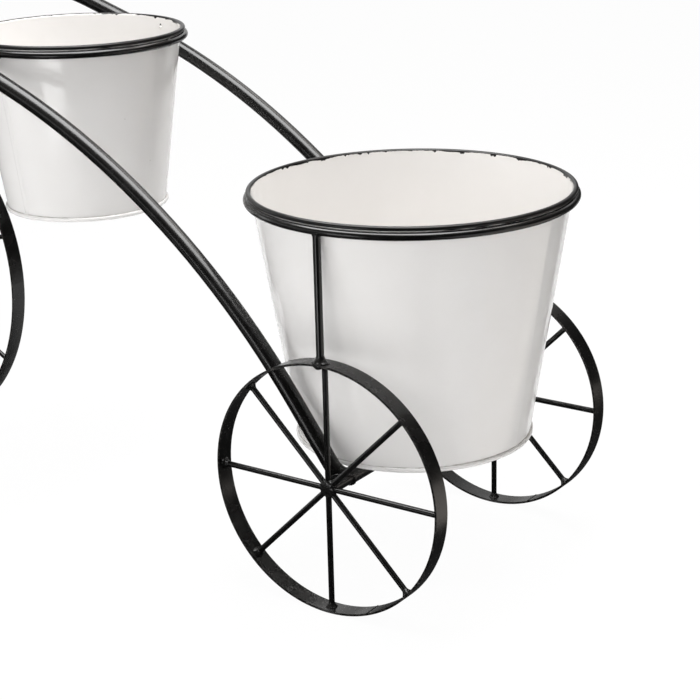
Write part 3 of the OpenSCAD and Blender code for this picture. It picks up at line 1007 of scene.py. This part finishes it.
@dataclass
class Rings(Assembly):
    """Rod rings that the pots hang in, their risers and stubs, and the welds."""

    rod_r: float = 3.05 * MM
    wheel_top: float = 204 * MM
    stub_drop: float = 14.5 * MM
    rail_y: float = RAIL_Y
    tube_r: float = TUBE_R
    # Flare and height of each rod's welds, and how deep the last starts
    foot_flare: Pair = (4.3 * MM, 7.6 * MM)
    top_flare: Pair = (2.6 * MM, 5.6 * MM)
    ring_flare: Pair = (1.8 * MM, 4.5 * MM)
    rail_flare: tuple[float, ...] = (2.6 * MM, 4.6 * MM, 1.4 * MM)
    crown: float = 0.28 * MM
    seams: tuple[tuple[str, float], ...] = (("large_ring", 172.0), ("small_ring", 8.0))

    def build(self) -> None:
        """Dresses the nodes and adds the welds."""
        self.dress(ROD_PAINT, "riser_left", "riser_right", "large_ring", "small_ring")
        self.dress(ROD_PAINT, "ring_stub_left", "ring_stub_right")
        for side in Side:
            self.riser_welds(side)
            self.stub_welds(side)
        for name, angle in self.seams:
            self.butt_weld(name, math.radians(angle))
        self.welds.build("ring_welds", Body.FRAME, WELD_PAINT)

    def riser_welds(self, side: Side) -> None:
        """Adds the welds at a riser's foot and top.

        Args:
            side: Side that it is on.
        """
        middle = box_of(f"riser_{side.word}")[0]
        foot = Vector((middle.x, middle.y, self.wheel_top - 0.05 * MM))
        flare = Fillet(foot, UP, self.rod_r, *self.foot_flare, across=ALONG, squeeze=0.5)
        self.welds.fillet(flare)
        self.lump(foot + mm(0.0, side.value * 3.6, -1.4), mm(4.0, 1.9, 2.9))
        top = Vector((middle.x, middle.y, box_of("large_ring")[0].z - 0.9 * MM))
        flare = Fillet(top, -UP, self.rod_r, *self.top_flare, across=ALONG, squeeze=0.1)
        self.welds.fillet(flare)

    def lump(self, centre: Vector, radii: Vector) -> None:
        """Adds a lump of weld metal.

        Args:
            centre: Middle of the lump.
            radii: Its half sizes along x, y and z.
        """
        rows = [(math.sin(t), math.cos(t)) for t in (math.pi * (k / 12 - 0.5) for k in range(13))]

        def rough(angle: float, height: float, radius: float) -> float:
            """Radius of an uneven ball."""
            spot = polar(angle, radius, height) * 1.6 + centre * 500
            return radius * (1 + 0.22 * noise.noise(spot))

        place = Matrix.Translation(centre) @ Matrix.Diagonal((*radii, 1.0))
        self.welds.turned(place, rows, 24, rough, low=False, high=False)

    def stub_welds(self, side: Side) -> None:
        """Adds the welds at both ends of a small ring's stub.

        Args:
            side: Side that it is on.
        """
        centre, half = box_of("small_ring")
        sign, size = float(side.value), self.rod_r
        top = centre + ACROSS * sign * (half.y - size)
        end = Vector((centre.x, sign * self.rail_y, centre.z - self.stub_drop))
        way = (end - top).normalized()
        seat = end - way * (self.tube_r - 0.3 * MM)
        high = Fillet(top + way * 1.2 * MM, way, size, *self.ring_flare, across=ALONG, squeeze=0.2)
        low = Fillet(seat, -way, size, *self.rail_flare, across=ALONG, squeeze=0.8)
        self.welds.fillet(high)
        self.welds.fillet(low)

    def butt_weld(self, name: str, turn: float) -> None:
        """Adds the dressed weld where a ring's rod meets itself.

        Args:
            name: Ring's node.
            turn: Where it is, round from +X.
        """
        centre, half = box_of(name)
        place = facing(centre + polar(turn) * (half.y - self.rod_r), polar(turn + QUARTER))
        rows = [
            (k * 0.4 * MM, self.rod_r + self.crown * math.cos(k * math.pi / 12) - 0.02 * MM)
            for k in range(-6, 7)
        ]
        self.welds.turned(place, rows, 32, low=False, high=False)


@dataclass
class Planter(Assembly):
    """A pot with a rolled rim, a lap seam down its wall and a beaded foot."""

    name: str
    body: Body
    rim_r: float
    taper: float
    height: float
    seam_angle: float
    # Angle in degrees and height of the rivet, and the side where the rim's paint is barer
    rivet_at: Pair | None = None
    bare_angle: float | None = None
    roll_r: float = 2.1 * MM
    bead_r: float = 1.9 * MM
    sheet: float = 0.6 * MM
    seam_start: float = 4.4 * MM
    seam_stop: float = 11.5 * MM

    def build(self) -> None:
        """Dresses the nodes and adds the seam and the rivet."""
        low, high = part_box(f"{self.name}_wall")
        foot = Vector(((low.x + high.x) / 2, 0.0, low.z))
        bare = (0.0, 0.0)
        if self.bare_angle is not None:
            bare = tuple(polar(math.radians(self.bare_angle), 1 / self.rim_r).xy)
        enamel = PotEnamel(
            f"{self.name}_enamel",
            Slot.ENAMEL,
            middle=foot.x,
            foot=low.z,
            rim=high.z - self.roll_r,
            rim_radius=self.rim_r,
            bare=bare,
        )
        self.dress(enamel, f"{self.name}_wall", f"{self.name}_floor")
        self.dress(WIRE_STEEL, f"{self.name}_rim_wire")
        self.seam(foot, enamel)
        if self.rivet_at is not None:
            self.rivet(foot, math.radians(self.rivet_at[0]), self.rivet_at[1])

    def wall_r(self, up: float) -> float:
        """Outside radius of the wall at a height above the foot."""
        share = (up - self.bead_r) / (self.height - self.roll_r - self.bead_r)
        return self.rim_r - self.taper * (1 - share)

    def seam(self, foot: Vector, enamel: PotEnamel) -> None:
        """Adds the folded seam that closes the wall.

        Args:
            foot: Middle of the foot.
            enamel: Finish of the pot.
        """
        section = in_mm((-2.5, -0.3), (-2.35, 0.12), (-2.05, 0.3), (-1.2, 0.36), (0.0, 0.38))
        section += [(-across, out) for across, out in reversed(section[:-1])]
        span, rows = self.height - self.seam_stop - self.seam_start, 24
        rings = []
        for k in range(rows + 1):
            up, ring = self.seam_start + span * k / rows, []
            for across, out in section:
                radius = self.wall_r(up) + out
                turn = math.radians(self.seam_angle) + across / radius
                ring.append(foot + polar(turn, radius, up))
            rings.append(ring)
        draft = Draft()
        draft.rings(rings)
        draft.build(f"{self.name}_seam", self.body, enamel)

    def rivet(self, foot: Vector, angle: float, up: float) -> None:
        """Adds the small bright rivet inside the wall and two black spots beside it: the one above is
        a pinhole and partly a painted shadow of the gap over the head, the one below a chip.

        Args:
            foot: Middle of the foot.
            angle: Where it is, round from +X.
            up: Height above the foot.
        """
        inward = -polar(angle)
        place = facing(foot - inward * (self.wall_r(up) - self.sheet) + UP * up, inward)
        head = in_mm((-0.3, 1.6), (0.15, 1.6), (0.5, 1.45), (0.8, 1.05), (0.95, 0.6), (1.0, 0.2))
        rivet, pits = Draft(), Draft()
        rivet.turned(place, head, 32, low=False)
        rivet.build(f"{self.name}_rivet", self.body, RIVET_STEEL)
        # Spot above the head: pinhole and painted shadow over the head; smaller spot below: a chip
        for lift, size in ((2.5, 0.95), (-2.1, 0.55)):
            low = place @ Matrix.Translation(place.to_3x3().inverted() @ mm(0, 0, lift))
            rim = in_mm((-0.2, size), (0.06, size), (0.09, size * 0.8), (0.07, size * 0.3))
            pits.turned(low, rim, 24, low=False)
        pits.build(f"{self.name}_rivet_pits", self.body, PAINT)


@dataclass
class Steering(Assembly):
    """Fork, stem, washer and stop screw, in a frame that leans with the steering axis."""

    axle: Vector = field(default_factory=FRONT_AXLE.copy)
    lean: float = 12.0
    tube_r: float = TUBE_R
    stem_r: float = 8.0 * MM
    arch_r: float = 20.3 * MM
    tip_up: float = 15 * MM
    fork_top: float = 259.44 * MM
    stop_up: float = 294.84 * MM
    bar_up: float = 439.606 * MM
    socket_r: float = 1.8 * MM
    # Distance off the stem and radius of its weld beads
    bead: Pair = (0.1 * MM, 1.3 * MM)

    def frame(self, up: float, y: float = 0.0) -> Matrix:
        """Frame at a height along the steering axis and a distance to the side."""
        turn = Matrix.Rotation(math.radians(self.lean), 4, "Y")
        return Matrix.Translation(self.axle) @ turn @ Matrix.Translation((0.0, y, up))

    def build(self) -> None:
        """Dresses the nodes, adds the welds and makes the stop screw."""
        self.dress(PAINT, "fork_tube", "fork_tip_left", "fork_tip_right", "steering_stem")
        self.dress(PLATING, "head_washer", "axle_washers")

        def half_tube(x: float) -> float:
            """Height of a level tube's surface above its middle line, beside the stem."""
            return math.sqrt(max(0.0, self.tube_r**2 - x**2))

        def over_arch(x: float, y: float) -> float:
            """Height of the arch's upper side beside the stem."""
            return half_tube(x) - (self.arch_r - math.sqrt(self.arch_r**2 - y**2))

        def under_bar(x: float, y: float) -> float:
            """Height of the handlebar's underside beside the stem."""
            return -half_tube(x)

        for up, height in ((self.fork_top, over_arch), (self.bar_up, under_bar)):
            self.welds.bead(loop_on(self.frame(up), self.stem_r + self.bead[0], height), self.bead[1])
        rows = in_mm((0.4, 6.75), (-0.5, 6.9), (-1.4, 6.1), (-2.1, 4.3), (-2.4, 1.7))
        for side in Side:

            def lump(angle: float, height: float, radius: float) -> float:
                """Radius of the closing weld, a little uneven."""
                spot = polar(angle, 1.0, height * 500) * 2.2 + ALONG * (side.value * 9.0)
                return radius * (1 + 0.045 * noise.noise(spot))

            end = self.frame(self.tip_up, side.value * self.arch_r)
            self.welds.turned(end, rows, 40, lump, low=False)
        self.welds.build("fork_welds", Body.FORK, WELD_PAINT)
        self.stop_screw()

    def stop_screw(self) -> None:
        """Makes the button head screw with its hexagon socket."""
        rows = in_mm((5.3, 2.2), (5.5, 2.4), (11.3, 2.4), (11.3, 4.6), (11.45, 4.75), (12.2, 4.65))
        rows += in_mm((13.1, 4.15), (13.8, 3.3), (14.2, 2.4), (14.3, 2.0))
        rows += in_mm((14.25, 1.75), (13.9, 1.62), (12.4, 1.6))

        def shape(angle: float, height: float, radius: float) -> float:
            """Round outside, six-sided in the socket."""
            return hexagon(angle, 2 * radius) if radius < self.socket_r else radius

        draft = Draft()
        place = self.frame(self.stop_up) @ Matrix.Rotation(-QUARTER, 4, "Y")
        draft.turned(place, rows, 60, shape)
        screw = draft.build("button_stop_screw", Body.FORK, PLATING, sharp=35)
        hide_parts("stop_screw")


@dataclass
class Axle:
    """Front axle bolt with its nut."""

    axle: Vector = field(default_factory=FRONT_AXLE.copy)
    flats: float = 13 * MM
    cap_r: float = 3.0 * MM
    face_r: float = 6.1 * MM
    chamfer_r: float = 6.7 * MM
    chamfer_in: float = 0.35 * MM
    chamfer_out: float = 0.9 * MM
    collar_r: float = 6.2 * MM
    collar_t: float = 0.3 * MM
    mouth: float = 0.7 * MM
    bolt_r: float = 4 * MM
    seat: float = 23.3 * MM
    head_h: float = 5.3 * MM
    nut_h: float = 6.5 * MM
    bolt_end: float = 3 * MM
    pitch: float = 1.25 * MM
    thread_in: float = 14 * MM
    plain: float = 1 * MM
    step: float = 0.125 * MM
    thread_depth: float = 0.62 * MM
    end_cone: float = 0.75 * MM
    sharp: float = 32.0

    def hex_end(self, at: float, inward: float) -> list[Pair]:
        """Rows of a hexagon's chamfered end.

        Args:
            at: Height of its face.
            inward: Sign of the way into the metal.

        Returns:
            Heights and radii, from the face inward.
        """
        steps = ((0.0, self.face_r), (self.chamfer_in, self.chamfer_r))
        corner = (self.chamfer_out, self.flats / 2 / math.cos(math.pi / 6))
        return [(at + inward * depth, radius) for depth, radius in (*steps, corner)]

    def build(self) -> None:
        """Makes the bolt and the nut in place of their plain solids."""
        place = Matrix.Translation(self.axle) @ Matrix.Rotation(-QUARTER, 4, "X")
        top, bottom = -self.seat, -self.seat - self.head_h
        end = self.seat + self.nut_h + self.bolt_end
        start = self.seat - self.thread_in

        def chamfered(angle: float, height: float, radius: float) -> float:
            """Hexagon cut by the cone of its chamfer."""
            return min(hexagon(angle, self.flats), radius)

        def threaded(angle: float, height: float, radius: float) -> float:
            """Radius on the helix, running out at both ends."""
            into = height - start - self.plain
            if into < 0.0:
                return radius
            wave = abs((height / self.pitch - angle / math.tau) % 1.0 - 0.5) * 2
            cone = (end - height) + self.bolt_r - self.end_cone
            return min(radius - self.thread_depth * wave * min(1.0, into / self.pitch), cone)

        bolt, nut = Draft(), Draft()
        rows = [(bottom, self.cap_r), *self.hex_end(bottom, 1.0)]
        rows += [(top - self.collar_t, rows[-1][1]), (top - self.collar_t, self.collar_r)]
        rows += [(top, self.collar_r), (top, self.bolt_r)]
        bolt.turned(place, rows, 96, chamfered, low=True, high=False)
        rows = [(top, self.bolt_r), (start, self.bolt_r)]
        count = int((end - start) / self.step)
        rows += [(start + k * self.step, self.bolt_r) for k in range(count)]
        rows.append((end, self.bolt_r - self.end_cone))
        bolt.turned(place, rows, 48, threaded, low=False)
        piece = bolt.build("hex_axle_bolt", Body.FORK, PLATING, sharp=self.sharp)
        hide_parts("axle_bolt")
        low, high = self.seat, self.seat + self.nut_h
        rows = [(low, self.bolt_r), *self.hex_end(low, 1.0), *reversed(self.hex_end(high, -1.0))]
        rows += [(high, self.bolt_r + self.mouth), (high - self.mouth, self.bolt_r)]
        nut.turned(place, rows, 96, chamfered, low=False, high=False)
        piece = nut.build("hex_axle_nut", Body.FORK, PLATING, sharp=self.sharp)
        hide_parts("axle_nut")


@dataclass
class Handlebar(Assembly):
    """Swept bar with ribbed rubber grips."""

    middle: Vector = field(default_factory=lambda: mm(-194.615, 0, 597))
    rise: float = 8.0
    half_mid: float = 52 * MM
    bend_r: float = 55 * MM
    sweep: float = 62.0
    end_len: float = 88 * MM
    grip_len: float = 84 * MM
    grip_r: float = 9.5 * MM
    flange_r: float = 13 * MM
    bore_r: float = 6.4 * MM
    end_t: float = 3 * MM
    tip_r: float = 2.0 * MM
    ribs: int = 15
    rib_rows: int = 10
    rib_h: float = 0.85 * MM
    belly: float = 0.35 * MM
    groove: float = 1.25 * MM
    # Smooth lengths before the first rib and after the last
    ribbed: Pair = (9.0 * MM, 7.0 * MM)

    def build(self) -> None:
        """Dresses the bar and makes both grips."""
        self.dress(PAINT, "handlebar")
        for side in Side:
            self.grip(side)

    def end_frame(self, side: Side) -> Matrix:
        """Frame of a bar end.

        Args:
            side: Which end.

        Returns:
            The frame, with Z along the end.
        """
        sweep = math.radians(self.sweep)
        out = self.half_mid + self.bend_r * math.sin(sweep)
        end = Matrix.Translation((-self.bend_r * (1 - math.cos(sweep)), out, 0.0))
        end = end @ Matrix.Rotation(sweep, 4, "Z") @ Matrix.Rotation(-QUARTER, 4, "X")
        plane = Matrix.Rotation(math.radians(180 - self.rise), 4, "Y")
        flip = Matrix.Scale(float(side.value), 4, ACROSS)
        return Matrix.Translation(self.middle) @ plane @ flip @ end

    def grip(self, side: Side) -> None:
        """Makes a grip with a rounded flange, ribs and a domed end.

        Args:
            side: Which end it is on.
        """
        high = self.end_len + self.end_t
        low = high - self.grip_len
        rows = [(low, self.bore_r)]
        flange = in_mm((0.0, -1.0), (0.3, -0.3), (1.2, 0.0), (2.2, -0.5))
        neck = in_mm((3.0, 0.9), (4.6, -0.1), (7.0, -0.4))
        dome = in_mm((-5.6, -0.5), (-3.0, 0.0), (-1.4, -0.35), (-0.4, -1.6), (-0.05, -3.6))
        rows += [(low + up, self.flange_r + out) for up, out in flange]
        rows += [(low + up, self.grip_r + out) for up, out in neck]
        first, last = low + self.ribbed[0], high - self.ribbed[1]
        count = self.ribs * self.rib_rows
        for k in range(count + 1):
            wave = self.rib_h * (math.sin(math.pi * self.ribs * k / count) ** 2) ** 0.6
            belly = self.belly * math.sin(math.pi * k / count)
            radius = self.grip_r - self.groove + belly + wave
            rows.append((first + (last - first) * k / count, radius))
        rows += [(high + up, self.grip_r + out) for up, out in dome]
        rows.append((high, self.tip_r))
        draft = Draft()
        draft.turned(self.end_frame(side), rows, 48, low=False)
        piece = draft.build(f"ribbed_grip_{side.word}", Body.FORK, RUBBER, sharp=50)
        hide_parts(f"grip_{side.word}")


# Studio


@dataclass(frozen=True)
class Lamp:
    """A soft rectangular lamp, which reflections show only where it is mirrored."""

    name: str
    at: Place
    aim: Place
    wide: float
    tall: float
    watts: float
    tint: Colour = EVEN
    mirrored: bool = False

    def build(self) -> None:
        """Hangs the lamp."""
        data = bpy.data.lights.new(self.name, "AREA")
        data.shape, data.size, data.size_y = "RECTANGLE", self.wide, self.tall
        data.energy, data.color = self.watts, self.tint
        lamp = bpy.data.objects.new(self.name, data)
        turn = (Vector(self.aim) - Vector(self.at)).to_track_quat("-Z", "Y")
        lamp.matrix_world = Matrix.Translation(self.at) @ turn.to_matrix().to_4x4()
        lamp.visible_glossy = self.mirrored
        bpy.context.scene.collection.objects.link(lamp)
        LOG.info("hung %s: %.1f W", self.name, self.watts)


@dataclass(frozen=True)
class Board:
    """A board that only reflections see, as a studio uses to shape them."""

    name: str
    tone: float
    corners: Sequence[Place]
    tint: Colour = EVEN

    @classmethod
    def flat(cls, name: str, tone: float, up: float, *outline: Pair, tint: Colour = EVEN) -> Board:
        """Level board of an outline at a height."""
        return cls(name, tone, [(x, y, up) for x, y in outline], tint)

    @classmethod
    def wall(cls, name: str, tone: float, start: Pair, end: Pair, low: float, high: float) -> Board:
        """Upright board between two places on the floor, from one height to another."""
        return cls(name, tone, [(*start, low), (*end, low), (*end, high), (*start, high)])

    def build(self) -> None:
        """Stands the board."""
        made = bpy.data.materials.new(self.name)
        sketch = NodeSketch(made)
        glow = sketch.value("ShaderNodeEmission", {"Color": self.tint, "Strength": self.tone})
        sketch.add("ShaderNodeOutputMaterial", {"Surface": glow})
        board = show(self.name, self.corners, [range(len(self.corners))], made)
        board.visible_camera = board.visible_diffuse = board.visible_shadow = False


@dataclass
class Studio:
    """White floor, plain world, lamps, boards and the camera of the picture."""

    eye: Vector = field(default_factory=lambda: mm(1072.42, -1169.54, 650.02))
    azimuth: float = 35.137
    down: float = 18.781
    roll: float = -1.565
    focal: float = 1819.93
    middle: Pair = (340.80, 350.49)
    frame: float = 700.0
    sensor: float = 36.0
    floor_half: float = 30.0
    backdrop: float = 6.0
    floor_tone: Colour = (0.9, 0.9, 0.9)
    floor_mirrored: float = 0.9
    floor_glow: float = 0.97
    sky: Colour = (1.0, 0.965, 0.93)
    ambient: float = 0.28
    lamps: tuple[Lamp, ...] = (
        Lamp("top_softbox", (0.3, 0.06, 1.8), (0.28, 0.06, 0.3), 1.7, 0.42, 45.0),
        Lamp("key_softbox", (0.35, -1.8, 0.7), (0.15, 0.0, 0.1), 1.6, 1.2, 10.5),
        Lamp("back_strip", (0.5, 0.8, 1.6), (0.2, 0.0, 0.25), 1.5, 0.3, 8.0, (1.0, 0.96, 0.92), True),
        Lamp("left_softbox", (-1.5, -1.8, 0.5), (0.1, 0.0, 0.1), 1.3, 0.9, 13.0, (0.98, 0.99, 1.0)),
    )
    boards: tuple[Board, ...] = (
        Board.flat(
            "dark_floor", 0.05, 0.0015, (-0.3, -0.45), (0.1, -0.5), (0.7, -0.35),
            (0.52, -0.05), (0.5, 0.26), (0.2, 0.26), (-0.3, 0.0),
        ),
        Board.flat(
            "warm_floor", 1.1, 0.0015, (0.5, 0.06), (1.02, 2.0), (3.5, 2.0), (3.5, 0.0),
            (0.55, -0.05), tint=(1.0, 0.93, 0.86),
        ),
        Board.flat("dark_strip", 0.05, 0.002, (0.5, 0.07), (1.3, 1.85), (0.35, 1.95), (0.42, 0.2)),
        Board.flat(
            "dark_mat", 0.03, 0.001, (-0.7, -0.8), (0.1, -0.5), (0.7, -0.35), (4.0, -0.3),
            (4.0, -4.5), (-0.7, -4.5),
        ),
        Board.wall("dark_wall", 0.05, (-1.6, -4.2), (4.0, 0.3), 0.0, 2.2),
        Board.wall("bright_wall", 1.3, (-4.2, 1.1), (0.8, 4.2), 1.1, 2.6),
        Board.flat("low_card", 4.5, 0.002, (0.0, -0.72), (0.36, -0.72), (0.36, -1.25), (0.0, -1.25)),
        Board.flat(
            "dark_left", 0.05, 0.0015, (-0.3, -0.45), (-0.3, 0.25), (-2.5, 0.6), (-2.5, -4.5),
            (-0.7, -4.5), (-0.7, -0.8),
        ),
        Board.wall("dark_room_right", 0.05, (0.52, 1.54), (1.88, 0.36), 0.0, 0.9),
        Board.wall("dark_room_left", 0.05, (-0.45, 1.58), (0.52, 1.54), 0.0, 0.85),
        Board.flat("top_card", 11.0, 1.79, (1.15, -0.8), (-1.0, -0.8), (-1.0, 0.4), (1.15, 0.4)),
        Board.wall("front_strip", 5.5, (-0.8, -2.5), (0.15, -2.5), 0.02, 0.3),
        Board.wall("left_card", 2.5, (-1.9, -0.5), (-1.9, -0.2), 0.0, 1.0),
    )

    def build(self) -> None:
        """Sets up the whole studio."""
        self.floor()
        self.world()
        for thing in self.lamps + self.boards:
            thing.build()
        self.camera()
        bpy.context.scene.view_settings.view_transform = "Standard"

    def floor(self) -> None:
        """Lays a white floor that keeps a faint shadow, with white backdrops far off."""
        half, tall = self.floor_half, self.backdrop
        corners = [(-half, -half), (half, -half), (half, half), (-half, half)]
        points = [(x, y, z) for z in (0.0, tall) for x, y in corners]
        walls = [(k, (k + 1) % 4, 4 + (k + 1) % 4, 4 + k) for k in range(4)]
        made = bpy.data.materials.new("studio_white")
        sketch = NodeSketch(made)
        path = sketch.add("ShaderNodeLightPath").outputs
        names = ("Is Camera Ray", "Is Glossy Ray", "Is Transmission Ray")
        camera, glossy, through = (Value(sketch, path[name]) for name in names)
        seen = sketch.maths("MAXIMUM", camera, sketch.maths("MAXIMUM", glossy, through))
        shade = sketch.value("ShaderNodeBsdfDiffuse", {"Color": self.floor_tone})
        strength = sketch.ramp(camera, 0.0, 1.0, self.floor_mirrored, 1.0)
        glow = sketch.value("ShaderNodeEmission", {"Strength": strength})
        mix = sketch.value("ShaderNodeMixShader", {0: seen * self.floor_glow, 1: shade, 2: glow})
        sketch.add("ShaderNodeOutputMaterial", {"Surface": mix})
        show("studio_floor", points, [(0, 1, 2, 3), *walls], made)

    def world(self) -> None:
        """Makes the surroundings above the backdrops an even grey."""
        world = bpy.data.worlds.new("studio_world")
        bpy.context.scene.world = world
        sketch = NodeSketch(world)
        even = sketch.value("ShaderNodeBackground", {"Color": self.sky, "Strength": self.ambient})
        sketch.add("ShaderNodeOutputWorld", {"Surface": even})

    def camera(self) -> None:
        """Puts the camera where the picture was taken from."""
        turn, dip, roll = (math.radians(v) for v in (self.azimuth, self.down, self.roll))
        level = polar(turn)
        ahead = polar(turn + QUARTER, math.cos(dip), -math.sin(dip))
        top = level.cross(ahead)
        right = level * math.cos(roll) + top * math.sin(roll)
        up = top * math.cos(roll) - level * math.sin(roll)
        data = bpy.data.cameras.new("picture_camera")
        data.sensor_width = self.sensor
        data.lens = self.focal * self.sensor / self.frame
        data.shift_x = (self.frame / 2 - self.middle[0]) / self.frame
        data.shift_y = (self.middle[1] - self.frame / 2) / self.frame
        data.clip_start, data.clip_end = 0.01, 50.0
        camera = bpy.data.objects.new("picture_camera", data)
        axes = Matrix((right, up, -ahead)).transposed().to_4x4()
        camera.matrix_world = Matrix.Translation(self.eye) @ axes
        bpy.context.scene.collection.objects.link(camera)
        bpy.context.scene.camera = camera


def main() -> None:
    """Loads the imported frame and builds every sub-assembly on it."""
    logging.basicConfig(level=logging.INFO, format="%(name)s: %(message)s")
    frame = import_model()
    nodes = frame["nodes"]
    Studio().build()
    Frame(nodes).build()
    for side in Side:
        pieces = (f"rear_rim_{side.word}", f"rear_spokes_{side.word}")
        Wheel(nodes, f"rear_wheel_{side.word}", pieces, Body.FRAME, weld_hub=side).build()
    front = ("front_rim", "front_spokes", "front_hub")
    Wheel(nodes, "front_wheel", front, Body.FRONT_WHEEL, 16.0).build()
    Rings(nodes).build()
    Planter(nodes, "large_pot", Body.LARGE_POT, 126.3 * MM, 32 * MM, 204.5 * MM, -150.0).build()
    small = Planter(nodes, "small_pot", Body.SMALL_POT, 91.4 * MM, 21.2 * MM, 154.8 * MM, -95.0)
    small.rivet_at, small.bare_angle = (75.4, 145 * MM), 140.0
    small.build()
    Steering(nodes).build()
    Axle().build()
    Handlebar(nodes).build()


if __name__ == "__main__":
    main()
